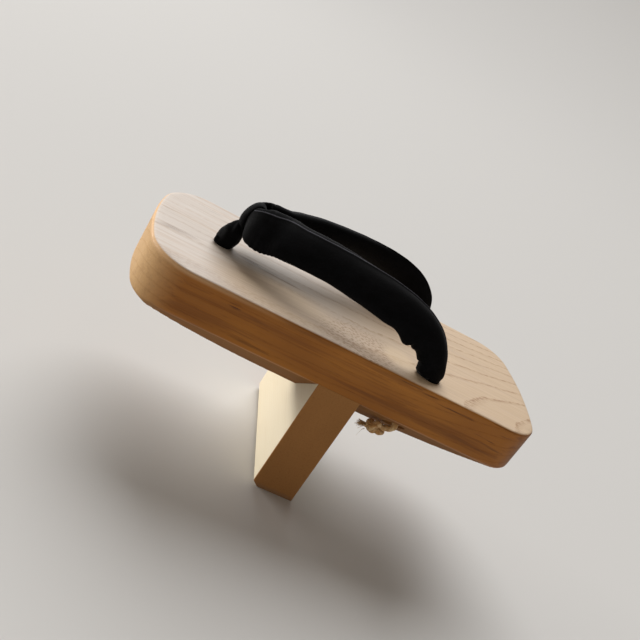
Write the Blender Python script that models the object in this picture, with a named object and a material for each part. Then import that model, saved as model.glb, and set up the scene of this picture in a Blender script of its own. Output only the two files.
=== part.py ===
"""One-tooth geta: a wooden platform on one cross board, held on by a padded cloth strap.

Metres, +Z up, +X to the toe, +Y to the wearer's left. The origin is on the floor, at the middle
of the tooth's bottom. Run it with: blender --background --python part.py
"""

import math

import bmesh
import bpy
import numpy as np

# Room between pieces that meet
CLEARANCE = 0.0003

# Platform: its top seen from above, measured from the middle of the tooth
TOE_REACH = 0.1268
HEEL_REACH = 0.1178
PLATFORM_WIDTH = 0.1020
TOE_BOW_RADIUS = 0.156
HEEL_BOW_RADIUS = 0.193
TOE_CORNER_RADIUS = 0.0277
HEEL_CORNER_RADIUS = 0.0208
TOP_EDGE_RADIUS = 0.0020

# Platform: side and boat-shaped underside
SIDE_HEIGHT = 0.0256
TOE_END_HEIGHT = 0.0302
HEEL_END_HEIGHT = 0.0272
KEEL_HEIGHT = 0.0503
KEEL_TOE_INSET = 0.0135
KEEL_HEEL_INSET = 0.0160
KEEL_POWER = 3.1
BEVEL_ANGLE = math.radians(35)

# Tooth: the board that the platform stands on
TOOTH_THICKNESS = 0.0259
TOOTH_HEIGHT = 0.0753
TOOTH_EDGE_RADIUS = 0.0008
TOOTH_BEVEL_HEIGHT = 0.0030
TOOTH_BEVEL_DEPTH = 0.0034

# Holes for the strap
TOE_HOLE_INSET = 0.0394
TOE_HOLE_RADIUS = 0.0050
HEEL_HOLE_INSET = 0.0747
HEEL_HOLE_SIDE_INSET = 0.0160
HEEL_HOLE_RADIUS = 0.0065

# Padded strap
STRAP_WIDTH = 0.0228
STRAP_THICKNESS = 0.0100
STRAP_RISE = 0.0269
STRAP_LEAN = math.radians(33)
STRAP_RAKE = 0.7  # how far the strap's upper edge tips back, against its height
TWIST_SPAN = 0.25  # the way out from the nose in which the strap takes its lean, as a share of the hole's
NOSE_SETBACK = 0.0087
SEAM_HEIGHT = 0.0007
STRAP_END = 0.7  # how far down its hole the cloth goes, as a share of the hole's depth

# Toe thong: a flat loop round the strap's nose, and the stem that goes down the toe hole
LOOP_WIDTH = 0.0060
LOOP_THICKNESS = 0.0020
STEM_BULGE_RADIUS = 0.0058
STEM_BULGE_SETBACK = 0.0015
STEM_NECK_RADIUS = 0.0044

# Cords knotted under the platform
CORD_RADIUS = 0.0026
KNOT_RADIUS = 0.0062
KNOT_FLATNESS = 0.75
KNOT_SHIFT = 0.0095
TAIL_LENGTH = 0.0110

# Facets, and how far cutters reach past what they cut
ROUND_SIDES = 32
STRAP_SIDES = 18
TUBE_SIDES = 12
BOW_STEPS = 5
CORNER_STEPS = 8
EDGE_STEPS = 3
KEEL_STEPS = 30
OUTSIDE = 0.01

HALF_WIDTH = PLATFORM_WIDTH / 2
HEEL_HOLE_SPREAD = HALF_WIDTH - HEEL_HOLE_SIDE_INSET
TOP_Z = TOOTH_HEIGHT + CLEARANCE + SIDE_HEIGHT
TOE_HOLE_X = TOE_REACH - TOE_HOLE_INSET
HEEL_HOLE_X = HEEL_HOLE_INSET - HEEL_REACH
NOSE_X = TOE_HOLE_X - NOSE_SETBACK

# The strap's centre line from its nose to a heel hole.
# along: share of the way from the nose back to the heel hole
# out: share of the way from the middle out to the heel hole
# up: height over the platform, as a share of STRAP_RISE
# wide, thick: shares of STRAP_WIDTH and STRAP_THICKNESS
STRAP_ROWS = (
    # along, out, up, wide, thick
    (0.000, 0.000, 0.790, 0.71, 0.78),
    (0.002, 0.105, 0.790, 0.73, 0.79),
    (0.020, 0.215, 0.790, 0.96, 0.92),
    (0.058, 0.275, 0.800, 1.05, 1.00),
    (0.108, 0.315, 0.830, 1.02, 1.00),
    (0.180, 0.400, 0.895, 1.00, 1.00),
    (0.260, 0.470, 0.955, 1.00, 1.00),
    (0.340, 0.530, 0.985, 1.00, 1.00),
    (0.420, 0.600, 1.000, 1.00, 1.00),
    (0.500, 0.685, 1.000, 1.00, 1.00),
    (0.582, 0.765, 0.985, 1.00, 1.00),
    (0.666, 0.833, 0.955, 1.00, 1.00),
    (0.750, 0.889, 0.900, 1.00, 1.00),
    (0.828, 0.940, 0.800, 0.98, 1.02),
    (0.894, 0.972, 0.655, 0.93, 1.06),
    (0.948, 0.992, 0.460, 0.84, 1.10),
    (0.982, 1.000, 0.255, 0.72, 1.12),
    (0.997, 1.000, 0.120, 0.61, 1.16),
)


def clear_scene():
    for thing in list(bpy.data.objects):
        bpy.data.objects.remove(thing, do_unlink=True)


def material(name, color, roughness):
    made = bpy.data.materials.new(name)
    made.use_nodes = True
    shader = made.node_tree.nodes["Principled BSDF"]
    shader.inputs["Base Color"].default_value = (*color, 1.0)
    shader.inputs["Roughness"].default_value = roughness
    shader.inputs["Metallic"].default_value = 0.0
    made.diffuse_color = (*color, 1.0)
    return made


def add_object(name, mesh, finish=None):
    thing = bpy.data.objects.new(name, mesh)
    bpy.context.collection.objects.link(thing)
    if finish is not None:
        mesh.materials.append(finish)
        mesh.shade_smooth()
        mesh.set_sharp_from_angle(angle=math.radians(35))
    return thing


def mesh_from(name, points, faces):
    mesh = bpy.data.meshes.new(name)
    mesh.from_pydata([tuple(point) for point in points], [], faces)
    mesh.validate()
    return mesh


def extruded(name, profile, vector):
    """A flat polygon of 3-D points, swept along a vector into a closed solid."""
    mesh = bpy.data.meshes.new(name)
    shape = bmesh.new()
    base = shape.faces.new([shape.verts.new(point) for point in profile])
    swept = bmesh.ops.extrude_face_region(shape, geom=[base])["geom"]
    lifted = [item for item in swept if isinstance(item, bmesh.types.BMVert)]
    bmesh.ops.translate(shape, verts=lifted, vec=vector)
    bmesh.ops.recalc_face_normals(shape, faces=shape.faces)
    shape.to_mesh(mesh)
    shape.free()
    return mesh


def box_mesh(name, low, high):
    corners = [(low[0], low[1], low[2]), (high[0], low[1], low[2]),
               (high[0], high[1], low[2]), (low[0], high[1], low[2])]
    return extruded(name, corners, (0, 0, high[2] - low[2]))


def cylinder_mesh(name, centre, radius, low, high):
    """An upright cylinder round (x, y) from height low to height high."""
    turns = [2 * math.pi * i / ROUND_SIDES for i in range(ROUND_SIDES)]
    ring = [(centre[0] + radius * math.cos(a), centre[1] + radius * math.sin(a), low) for a in turns]
    return extruded(name, ring, (0, 0, high - low))


def boolean(body, mesh, operation):
    """Cuts a mesh from a body, or joins it on, with a guide that isn't part of the model."""
    guide = add_object(f"{mesh.name}_guide", mesh)
    guide.hide_render = True
    guide.display_type = "WIRE"
    step = body.modifiers.new(mesh.name, "BOOLEAN")
    step.operation = operation
    step.solver = "EXACT"
    step.object = guide


def plan_quarter(reach, bow, corner, inset):
    """A quarter of the plan, from its tip to its straight side: a bowed end and a round corner.

    The bow's arc and the corner's arc share a tangent where they meet, so the outline has no kink.
    """
    bow_centre = reach - bow
    corner_y = HALF_WIDTH - corner
    corner_x = bow_centre + math.sqrt((bow - corner) ** 2 - corner_y**2)
    meeting = math.atan2(corner_y, corner_x - bow_centre)
    points = []
    for i in range(BOW_STEPS):
        a = meeting * i / BOW_STEPS
        radius = bow - inset
        points.append((bow_centre + radius * math.cos(a), radius * math.sin(a)))
    for i in range(CORNER_STEPS + 1):
        a = meeting + (math.pi / 2 - meeting) * i / CORNER_STEPS
        radius = corner - inset
        points.append((corner_x + radius * math.cos(a), corner_y + radius * math.sin(a)))
    return points


def plan_ring(depth, inset=0.0):
    """The platform's outline, drawn in by an inset, at a depth below its top."""
    toe = plan_quarter(TOE_REACH, TOE_BOW_RADIUS, TOE_CORNER_RADIUS, inset)
    heel = plan_quarter(HEEL_REACH, HEEL_BOW_RADIUS, HEEL_CORNER_RADIUS, inset)
    left = toe + [(-x, y) for x, y in reversed(heel)]
    outline = left + [(x, -y) for x, y in reversed(left[1:-1])]
    return [(x, y, TOP_Z - depth) for x, y in outline]


def loft(name, rings):
    """A closed solid through rings of equal length, stacked from the top down."""
    count = len(rings[0])
    faces = [tuple(range(count)), tuple(range(len(rings) * count - 1, (len(rings) - 1) * count - 1, -1))]
    for i in range(len(rings) - 1):
        for j in range(count):
            here, there, beside = i * count, (i + 1) * count, (j + 1) % count
            faces.append((here + j, there + j, there + beside, here + beside))
    return mesh_from(name, [point for ring in rings for point in ring], faces)


def keel_depth(x):
    """How far the middle of the underside lies below the top, at x along the platform."""
    reach = TOE_REACH - KEEL_TOE_INSET if x > 0 else HEEL_REACH - KEEL_HEEL_INSET
    end_height = TOE_END_HEIGHT if x > 0 else HEEL_END_HEIGHT
    return end_height + (KEEL_HEIGHT - end_height) * max(0.0, 1 - (abs(x) / reach) ** KEEL_POWER)


def underside_depth(x, y):
    """How far the underside lies below the top at (x, y): the bevel or the keel, whichever is higher."""
    bevel = SIDE_HEIGHT + (HALF_WIDTH - abs(y)) * math.tan(BEVEL_ANGLE)
    return min(keel_depth(x), bevel)


def platform_block():
    """The platform before its underside is cut, with its top edge rounded over."""
    rings = []
    for i in range(EDGE_STEPS + 1):
        a = math.pi / 2 * i / EDGE_STEPS
        rings.append(plan_ring(TOP_EDGE_RADIUS * (1 - math.cos(a)), TOP_EDGE_RADIUS * (1 - math.sin(a))))
    rings.append(plan_ring(KEEL_HEIGHT))
    return loft("platform", rings)


def keel_cutter():
    """Everything below the keel's long curve."""
    heel_end = -HEEL_REACH - OUTSIDE
    toe_end = TOE_REACH + OUTSIDE
    stations = [heel_end + (toe_end - heel_end) * i / KEEL_STEPS for i in range(KEEL_STEPS + 1)]
    floor = TOP_Z - KEEL_HEIGHT - OUTSIDE
    side = HALF_WIDTH + OUTSIDE
    profile = [(x, -side, TOP_Z - keel_depth(x)) for x in stations]
    profile += [(toe_end, -side, floor), (heel_end, -side, floor)]
    return extruded("keel", profile, (0, 2 * side, 0))


def bevel_cutter(side):
    """The wedge outside one long bevel, which starts at the bottom of the side wall."""
    heel_end = -HEEL_REACH - OUTSIDE
    length = TOE_REACH + OUTSIDE - heel_end
    drop = KEEL_HEIGHT - SIDE_HEIGHT + OUTSIDE
    start_z = TOP_Z - SIDE_HEIGHT
    edge = HALF_WIDTH + OUTSIDE
    profile = [
        (heel_end, side * edge, start_z + OUTSIDE * math.tan(BEVEL_ANGLE)),
        (heel_end, side * (HALF_WIDTH - drop / math.tan(BEVEL_ANGLE)), start_z - drop),
        (heel_end, side * edge, start_z - drop),
    ]
    return extruded("bevel_left" if side > 0 else "bevel_right", profile, (length, 0, 0))


def trench_cutter():
    """The slot across the underside that takes the tooth, as deep as the side wall's bottom edge."""
    half = TOOTH_THICKNESS / 2 + CLEARANCE
    side = HALF_WIDTH + OUTSIDE
    low = (-half, -side, TOP_Z - KEEL_HEIGHT - OUTSIDE)
    return box_mesh("trench", low, (half, side, TOP_Z - SIDE_HEIGHT))


def make_platform(finish):
    platform = add_object("platform", platform_block(), finish)
    boolean(platform, keel_cutter(), "DIFFERENCE")
    boolean(platform, bevel_cutter(1), "DIFFERENCE")
    boolean(platform, bevel_cutter(-1), "DIFFERENCE")
    boolean(platform, trench_cutter(), "DIFFERENCE")
    low = TOP_Z - KEEL_HEIGHT - OUTSIDE
    high = TOP_Z + OUTSIDE
    holes = (
        ("toe_hole", (TOE_HOLE_X, 0), TOE_HOLE_RADIUS),
        ("left_hole", (HEEL_HOLE_X, HEEL_HOLE_SPREAD), HEEL_HOLE_RADIUS),
        ("right_hole", (HEEL_HOLE_X, -HEEL_HOLE_SPREAD), HEEL_HOLE_RADIUS),
    )
    for name, centre, radius in holes:
        boolean(platform, cylinder_mesh(name, centre, radius, low, high), "DIFFERENCE")


def make_tooth(finish):
    """A board set in the trench, flush with the platform's sides, with its front bottom edge planed off."""
    half = TOOTH_THICKNESS / 2
    section = ((-half, 0), (half - TOOTH_BEVEL_DEPTH, 0), (half, TOOTH_BEVEL_HEIGHT),
               (half, TOOTH_HEIGHT), (-half, TOOTH_HEIGHT))
    profile = [(x, -HALF_WIDTH, z) for x, z in section]
    tooth = add_object("tooth", extruded("tooth", profile, (0, PLATFORM_WIDTH, 0)), finish)
    easing = tooth.modifiers.new("eased_edges", "BEVEL")
    easing.width = TOOTH_EDGE_RADIUS
    easing.segments = 2
    easing.limit_method = "ANGLE"


def smooth_rows(rows, steps):
    """A Catmull-Rom curve through the rows, with the given steps between each two."""
    rows = np.array(rows, float)
    padded = np.vstack([2 * rows[0] - rows[1], rows, 2 * rows[-1] - rows[-2]])
    made = []
    for i in range(len(rows) - 1):
        a, b, c, d = padded[i:i + 4]
        for step in range(steps):
            t = step / steps
            made.append(0.5 * (2 * b + (c - a) * t + (2 * a - 5 * b + 4 * c - d) * t**2
                               + (3 * b - a - 3 * c + d) * t**3))
    made.append(rows[-1])
    return np.array(made)


def unit(vectors):
    return vectors / np.linalg.norm(vectors, axis=-1, keepdims=True)


def swept_tube(name, centres, wide_axis, half_wide, half_thick, sides, peak=0.0, closed=False):
    """A tube round a centre line, oval in section.

    wide_axis is the rough direction of each section's longer axis, squared up to the line here.
    peak raises the end of that axis into a narrow ridge, as a strap's seam does.
    """
    ahead = np.roll(centres, -1, axis=0) - np.roll(centres, 1, axis=0)
    if not closed:
        ahead[0] = centres[1] - centres[0]
        ahead[-1] = centres[-1] - centres[-2]
    ahead = unit(ahead)
    wide = unit(wide_axis - (wide_axis * ahead).sum(axis=1, keepdims=True) * ahead)
    thick = np.cross(ahead, wide)
    angle = np.linspace(0, 2 * np.pi, sides, endpoint=False)
    ridge = np.where(angle == 0, 1.0, 0.0) * np.asarray(peak).reshape(-1, 1)
    out_wide = half_wide[:, None] * np.cos(angle) + ridge
    out_thick = half_thick[:, None] * np.sin(angle)
    rings = centres[:, None] + out_wide[..., None] * wide[:, None] + out_thick[..., None] * thick[:, None]
    count = len(centres)
    faces = []
    for i in range(count if closed else count - 1):
        for j in range(sides):
            here, there = i * sides, (i + 1) % count * sides
            beside = (j + 1) % sides
            faces.append((here + j, here + beside, there + beside, there + j))
    if not closed:
        faces.append(tuple(range(sides - 1, -1, -1)))
        faces.append(tuple(range((count - 1) * sides, count * sides)))
    return mesh_from(name, rings.reshape(-1, 3), faces)


def strap_centre(side):
    """Centre points, widths and thicknesses of one strap, from its nose to the end in the hole."""
    rows = smooth_rows(STRAP_ROWS, 2)
    along, out, up, wide, thick = rows.T
    x = NOSE_X + (HEEL_HOLE_X - NOSE_X) * along
    centres = np.stack([x, side * HEEL_HOLE_SPREAD * out, TOP_Z + STRAP_RISE * up], axis=1)
    half_wide = wide * STRAP_WIDTH / 2
    half_thick = thick * STRAP_THICKNESS / 2
    tail = HEEL_HOLE_RADIUS - CLEARANCE
    depth = underside_depth(HEEL_HOLE_X, HEEL_HOLE_SPREAD)
    drops = (-4 * CLEARANCE, 0.3 * depth, STRAP_END * depth)
    in_hole = [(HEEL_HOLE_X, side * HEEL_HOLE_SPREAD, TOP_Z - drop) for drop in drops]
    centres = np.vstack([centres, in_hole])
    return centres, np.append(half_wide, [tail] * 3), np.append(half_thick, [tail] * 3)


def make_strap(finish):
    """Both straps as one padded tube, joined at the nose: left hole, nose, right hole."""
    left, half_wide, half_thick = strap_centre(1)
    right = left[1:] * (1, -1, 1)
    centres = np.vstack([left[::-1], right])
    half_wide = np.concatenate([half_wide[::-1], half_wide[1:]])
    half_thick = np.concatenate([half_thick[::-1], half_thick[1:]])
    past_loop = np.clip(np.abs(centres[:, 1]) - LOOP_WIDTH / 2 - 2 * CLEARANCE, 0, None)
    side = np.sign(centres[:, 1]) * np.clip(past_loop / (TWIST_SPAN * HEEL_HOLE_SPREAD), 0, 1)
    lean = STRAP_LEAN * side
    wide_axis = np.stack([-STRAP_RAKE * np.abs(side), -np.sin(lean), np.cos(lean)], axis=1)
    seam = SEAM_HEIGHT * np.clip((centres[:, 2] - TOP_Z) / HEEL_HOLE_RADIUS - 0.5, 0, 1)
    mesh = swept_tube("strap", centres, wide_axis, half_wide, half_thick, STRAP_SIDES, seam)
    add_object("strap", mesh, finish)


def make_thong(finish):
    """A flat loop round the strap's nose, joined to a stem that goes down the toe hole."""
    nose = STRAP_ROWS[0]
    nose_z = TOP_Z + STRAP_RISE * nose[2]
    room = CLEARANCE + LOOP_THICKNESS / 2
    high = STRAP_WIDTH * nose[3] / 2 + SEAM_HEIGHT + room
    deep = STRAP_THICKNESS * nose[4] / 2 + room
    turns = np.linspace(0, 2 * np.pi, 32, endpoint=False)
    zero = np.zeros(len(turns))
    round_nose = np.stack([NOSE_X + deep * np.sin(turns), zero, nose_z + high * np.cos(turns)], axis=1)
    across = np.stack([zero, zero + 1, zero], axis=1)
    loop = swept_tube("thong_loop", round_nose, across, zero + LOOP_WIDTH / 2,
                      zero + LOOP_THICKNESS / 2, TUBE_SIDES, closed=True)
    thong = add_object("toe_thong", loop, finish)
    start_z = nose_z - high
    rise = start_z - TOP_Z
    neck_x = (NOSE_X + TOE_HOLE_X) / 2
    in_hole = TOE_HOLE_RADIUS - CLEARANCE
    depth = underside_depth(TOE_HOLE_X, 0)
    stem_rows = (
        # x, height over the platform, radius
        (NOSE_X, rise, LOOP_THICKNESS / 2),
        (neck_x, 0.92 * rise, STEM_NECK_RADIUS),
        (TOE_HOLE_X - STEM_BULGE_SETBACK, 0.6 * rise, STEM_BULGE_RADIUS * 0.93),
        (TOE_HOLE_X, 0.3 * rise, STEM_BULGE_RADIUS),
        (TOE_HOLE_X, CLEARANCE * 2, in_hole),
        (TOE_HOLE_X, -0.3 * depth, in_hole),
        (TOE_HOLE_X, -STRAP_END * depth, in_hole),
    )
    x, up, radius = smooth_rows(stem_rows, 3).T
    centres = np.stack([x, np.zeros(len(x)), TOP_Z + up], axis=1)
    radius = np.where(up <= CLEARANCE * 2, in_hole, radius)
    sideways = np.tile((0.0, 1.0, 0.0), (len(x), 1))
    stem = swept_tube("thong_stem", centres, sideways, radius, radius, TUBE_SIDES)
    boolean(thong, stem, "UNION")


def underside_frame(x, y, heading):
    """At a hole's lower end: the surface's point, its outward normal and a heading laid along it."""
    step = 0.001
    slope_x = (underside_depth(x + step, y) - underside_depth(x - step, y)) / (2 * step)
    slope_y = (underside_depth(x, y + step) - underside_depth(x, y - step)) / (2 * step)
    point = np.array([x, y, TOP_Z - underside_depth(x, y)])
    normal = unit(np.array([-slope_x, -slope_y, -1.0]))
    ahead = np.array([heading[0], heading[1], 0.0])
    return point, normal, unit(ahead - ahead @ normal * normal)


def knot_mesh(name, centre, normal, ahead):
    """A cord's overhand knot drawn tight: a ball with three soft lobes, flattened against the wood."""
    mesh = bpy.data.meshes.new(name)
    shape = bmesh.new()
    bmesh.ops.create_uvsphere(shape, u_segments=20, v_segments=12, radius=KNOT_RADIUS)
    beside = np.cross(normal, ahead)
    for vert in shape.verts:
        x, y, z = vert.co
        lobes = 1 + 0.10 * math.cos(3 * math.atan2(y, x)) * (1 - (z / KNOT_RADIUS) ** 2)
        vert.co = centre + x * lobes * ahead + y * lobes * beside + z * KNOT_FLATNESS * normal
    bmesh.ops.recalc_face_normals(shape, faces=shape.faces)
    shape.to_mesh(mesh)
    shape.free()
    return mesh


def make_cord(name, hole, heading, finish):
    """What shows of a strap's cord under the platform: the piece in the hole, its knot and its tail.

    heading is the way, seen from above, in which the knot and its tail lie from the hole.
    """
    x, y = hole
    exit_point, normal, ahead = underside_frame(x, y, heading)
    centre = exit_point + KNOT_SHIFT * ahead + (CLEARANCE + KNOT_FLATNESS * KNOT_RADIUS) * normal
    knot = add_object(name, knot_mesh(name, centre, normal, ahead), finish)
    top = TOP_Z - STRAP_END * (TOP_Z - exit_point[2]) - CLEARANCE
    shank = np.array([(x, y, top), exit_point + CORD_RADIUS * normal, centre])
    radius = np.full(3, CORD_RADIUS)
    shank_axis = np.tile((1.0, 0.0, 0.0), (3, 1))
    boolean(knot, swept_tube(f"{name}_shank", shank, shank_axis, radius, radius, TUBE_SIDES), "UNION")
    reach = np.array([[0.2], [0.6], [1.0], [1.2]]) * TAIL_LENGTH
    tail = centre + reach * ahead
    flare = np.array([1.0, 1.05, 1.35, 1.6]) * CORD_RADIUS
    tail_axis = np.tile(normal, (4, 1))
    boolean(knot, swept_tube(f"{name}_tail", tail, tail_axis, flare, flare, TUBE_SIDES), "UNION")


def main():
    clear_scene()
    make_platform(material("figured_wood", (0.70, 0.52, 0.34), 0.55))
    make_tooth(material("plain_wood", (0.80, 0.66, 0.44), 0.60))
    velvet = material("black_velvet", (0.012, 0.012, 0.014), 0.85)
    make_strap(velvet)
    make_thong(velvet)
    hemp = material("hemp_cord", (0.62, 0.47, 0.28), 0.90)
    make_cord("toe_cord", (TOE_HOLE_X, 0.0), (-1.0, 0.0), hemp)
    make_cord("heel_cord_left", (HEEL_HOLE_X, HEEL_HOLE_SPREAD), (0.8, -0.6), hemp)
    make_cord("heel_cord_right", (HEEL_HOLE_X, -HEEL_HOLE_SPREAD), (0.8, 0.6), hemp)


main()
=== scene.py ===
# %% [markdown]
# # A one-tooth geta, dressed for its photograph
#
# The CAD model gives the sandal's solids in metres: the platform, its tooth, the padded
# strap, the toe thong and three knotted cords. This lesson keeps those sizes and adds what
# the eye sees: grain in the wood, nap and puckers in the velvet, and the twist and frayed
# ends of the cords. Every piece is a surface worked out with numpy.

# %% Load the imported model
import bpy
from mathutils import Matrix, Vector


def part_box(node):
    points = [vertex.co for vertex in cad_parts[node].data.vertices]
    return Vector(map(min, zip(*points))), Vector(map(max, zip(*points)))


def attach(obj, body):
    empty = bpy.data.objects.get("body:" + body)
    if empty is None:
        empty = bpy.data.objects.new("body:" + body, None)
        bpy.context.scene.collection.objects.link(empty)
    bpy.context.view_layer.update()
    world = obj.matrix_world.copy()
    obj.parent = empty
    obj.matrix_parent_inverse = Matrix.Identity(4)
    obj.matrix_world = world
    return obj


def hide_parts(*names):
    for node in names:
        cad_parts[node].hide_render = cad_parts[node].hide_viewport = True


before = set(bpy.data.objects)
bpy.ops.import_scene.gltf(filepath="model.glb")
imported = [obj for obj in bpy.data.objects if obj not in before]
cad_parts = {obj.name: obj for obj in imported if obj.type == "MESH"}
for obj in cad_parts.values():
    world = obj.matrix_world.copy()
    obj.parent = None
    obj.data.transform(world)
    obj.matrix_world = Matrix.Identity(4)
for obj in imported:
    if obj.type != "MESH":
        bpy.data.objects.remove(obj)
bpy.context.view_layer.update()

from types import SimpleNamespace

import bmesh
import bpy
import numpy as np
from mathutils import Matrix, Vector

print("nodes:", ", ".join(sorted(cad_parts)))

# %% [markdown]
# ## Sizes that the pieces share
#
# The platform's and the tooth's boxes give the driving sizes. What the boxes can't tell,
# such as the radius of a corner, is a named value here, in metres.

# %% Sizes read from the frame
deck_low, deck_high = (np.array(corner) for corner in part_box("platform"))
board_high = np.array(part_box("tooth")[1])
TOP_Z = deck_high[2]
TOE_REACH = deck_high[0]
HEEL_REACH = -deck_low[0]
HALF_WIDTH = deck_high[1]
KEEL_HEIGHT = TOP_Z - deck_low[2]
TOOTH_HALF = board_high[0]
TOOTH_TOP = board_high[2]
GAP = 0.0003
print(f"deck at {TOP_Z * 1000:.1f} mm, {1000 * (TOE_REACH + HEEL_REACH):.1f} mm long")

# %% Sizes that the frame's boxes don't give
SIDE_HEIGHT = TOP_Z - TOOTH_TOP - GAP
TOE_END_HEIGHT = 0.0302
HEEL_END_HEIGHT = 0.0272
KEEL_TOE_INSET = 0.0135
KEEL_HEEL_INSET = 0.0160
KEEL_POWER = 3.1
BEVEL_SLOPE = np.tan(np.radians(35))
TOE_BOW, HEEL_BOW = 0.156, 0.193
TOE_CORNER, HEEL_CORNER = 0.0277, 0.0208
TOE_HOLE = np.array([TOE_REACH - 0.0394, 0.0])
HEEL_HOLE = np.array([0.0747 - HEEL_REACH, 0.0350])
TOE_HOLE_RADIUS, HEEL_HOLE_RADIUS = 0.0050, 0.0065
print("heel holes at", np.round(HEEL_HOLE * 1000, 1), "mm")

# %% [markdown]
# ## From a grid of points to a mesh
#
# A surface is a grid: rows run along the piece and columns go round it. Each cell becomes
# one quad, and its place in the grid becomes its UV, so a material can follow the cloth.
# Rows that shrink to a point are merged, which closes the piece.

# %% A helper that turns grids into one mesh object
def quads_of(rows, columns, first=0):
    """The four corner numbers of every cell of a grid whose last column meets its first."""
    here = first + np.arange(rows * columns).reshape(rows, columns)
    beside = np.roll(here, -1, axis=1)
    return np.stack([here[:-1], beside[:-1], beside[1:], here[1:]], axis=-1).reshape(-1, 4)


def uvs_of(rows, columns):
    """Each cell corner's place in the grid: how far along, then how far round, from 0 to 1."""
    row, column = np.meshgrid(np.arange(rows - 1), np.arange(columns), indexing="ij")
    along = np.stack([row, row, row + 1, row + 1], axis=-1) / (rows - 1)
    round_it = np.stack([column, column + 1, column + 1, column], axis=-1) / columns
    return np.stack([along, round_it], axis=-1).reshape(-1, 2)


def surface(name, *grids, sharp=180):
    """One object from grids of points, closed at poles, with its faces turned outwards."""
    points, quads, uvs, first = [], [], [], 0
    for grid in grids:
        rows, columns = grid.shape[:2]
        points.append(grid.reshape(-1, 3))
        quads.append(quads_of(rows, columns, first))
        uvs.append(uvs_of(rows, columns))
        first += rows * columns
    mesh = bpy.data.meshes.new(name)
    mesh.from_pydata(np.concatenate(points), [], np.concatenate(quads).tolist())
    layer = mesh.uv_layers.new(name="UVMap")
    layer.data.foreach_set("uv", np.concatenate(uvs).astype(np.float32).ravel())
    tidy(mesh)
    mesh.shade_smooth()
    mesh.set_sharp_from_angle(angle=np.radians(sharp))
    piece = bpy.data.objects.new(name, mesh)
    bpy.context.collection.objects.link(piece)
    print(f"{name}: {len(mesh.polygons)} faces")
    return piece


def tidy(mesh):
    """Merges the doubled points of poles, drops faces without area and turns faces outwards."""
    shape = bmesh.new()
    shape.from_mesh(mesh)
    bmesh.ops.remove_doubles(shape, verts=shape.verts, dist=1e-6)
    bmesh.ops.recalc_face_normals(shape, faces=shape.faces)
    shape.to_mesh(mesh)
    shape.free()


def soft_noise(seed, *coordinates, waves=7):
    """Smooth chance, mostly from -1 to 1: a sum of sines, each with its own direction and phase."""
    chance = np.random.default_rng(seed)
    total = 0.0
    for _ in range(waves):
        turn = sum(chance.normal() * coordinate for coordinate in coordinates)
        total = total + np.sin(turn + chance.uniform(0, 2 * np.pi))
    return total / np.sqrt(waves) / 1.4


def smoothstep(value, low, high):
    """0 below low, 1 above high, and a soft S between them."""
    t = np.clip((value - low) / (high - low), 0, 1)
    return t * t * (3 - 2 * t)


def bell(value, middle, spread):
    """1 at the middle and fading on both sides: exp of minus the squared distance in spreads."""
    return np.exp(-(((value - middle) / spread) ** 2))


# %% [markdown]
# ## The platform
#
# A maker saws the block, rounds its plan, planes its top and shapes the underside like a
# boat: a long keel in the middle and a flat bevel along each side. The plan's ends are
# shallow bows that run into round corners. Two arcs with a shared tangent draw a quarter of
# it, and each ring of the grid is that outline, drawn in and lowered.

# %% The plan's outline
def plan_quarter(reach, bow, corner):
    """Points and outward directions from the tip to the straight side: a bow, then a corner arc."""
    bow_centre = reach - bow
    corner_y = HALF_WIDTH - corner
    corner_x = bow_centre + np.sqrt((bow - corner) ** 2 - corner_y**2)
    meeting = np.arctan2(corner_y, corner_x - bow_centre)
    on_bow = np.linspace(0, meeting, 14, endpoint=False)
    on_corner = np.linspace(meeting, np.pi / 2, 22)
    turn = np.concatenate([on_bow, on_corner])
    radius = np.where(np.arange(len(turn)) < len(on_bow), bow, corner)
    centre_x = np.where(radius == bow, bow_centre, corner_x)
    centre_y = np.where(radius == bow, 0.0, corner_y)
    out = np.stack([np.cos(turn), np.sin(turn)], axis=1)
    return np.stack([centre_x, centre_y], axis=1) + radius[:, None] * out, out


def plan_outline():
    """The whole outline and its outward directions, anticlockwise from the toe's tip."""
    toe, toe_out = plan_quarter(TOE_REACH, TOE_BOW, TOE_CORNER)
    heel, heel_out = (part * (-1, 1) for part in plan_quarter(HEEL_REACH, HEEL_BOW, HEEL_CORNER))
    steps = np.linspace(0, 1, 60)[1:-1, None]
    side = toe[-1] + (heel[-1] - toe[-1]) * steps
    side_out = np.tile((0.0, 1.0), (len(side), 1))
    half = np.vstack([toe, side, heel[::-1]])
    half_out = np.vstack([toe_out, side_out, heel_out[::-1]])
    outline = np.vstack([half, (half * (1, -1))[::-1][1:-1]])
    out = np.vstack([half_out, (half_out * (1, -1))[::-1][1:-1]])
    return outline, out


outline, outward = plan_outline()
print("outline points:", len(outline))


# %% The underside's depth
def underside_depth(x, y):
    """Depth below the top: the bevel or the keel, whichever is less, with the ridge worn soft."""
    toe_side = x > 0
    reach = np.where(toe_side, TOE_REACH - KEEL_TOE_INSET, HEEL_REACH - KEEL_HEEL_INSET)
    end = np.where(toe_side, TOE_END_HEIGHT, HEEL_END_HEIGHT)
    keel = end + (KEEL_HEIGHT - end) * np.maximum(0, 1 - (np.abs(x) / reach) ** KEEL_POWER)
    bevel = SIDE_HEIGHT + (HALF_WIDTH - np.abs(y)) * BEVEL_SLOPE
    softness = 0.0006
    gap = (bevel - keel) / softness
    return keel - softness * np.logaddexp(0, -gap) + softness * np.log(2) * np.exp(-np.abs(gap))


print("depth under the middle:", np.round(underside_depth(np.array([0.0]), np.array([0.0])) * 1000, 1))


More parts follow.
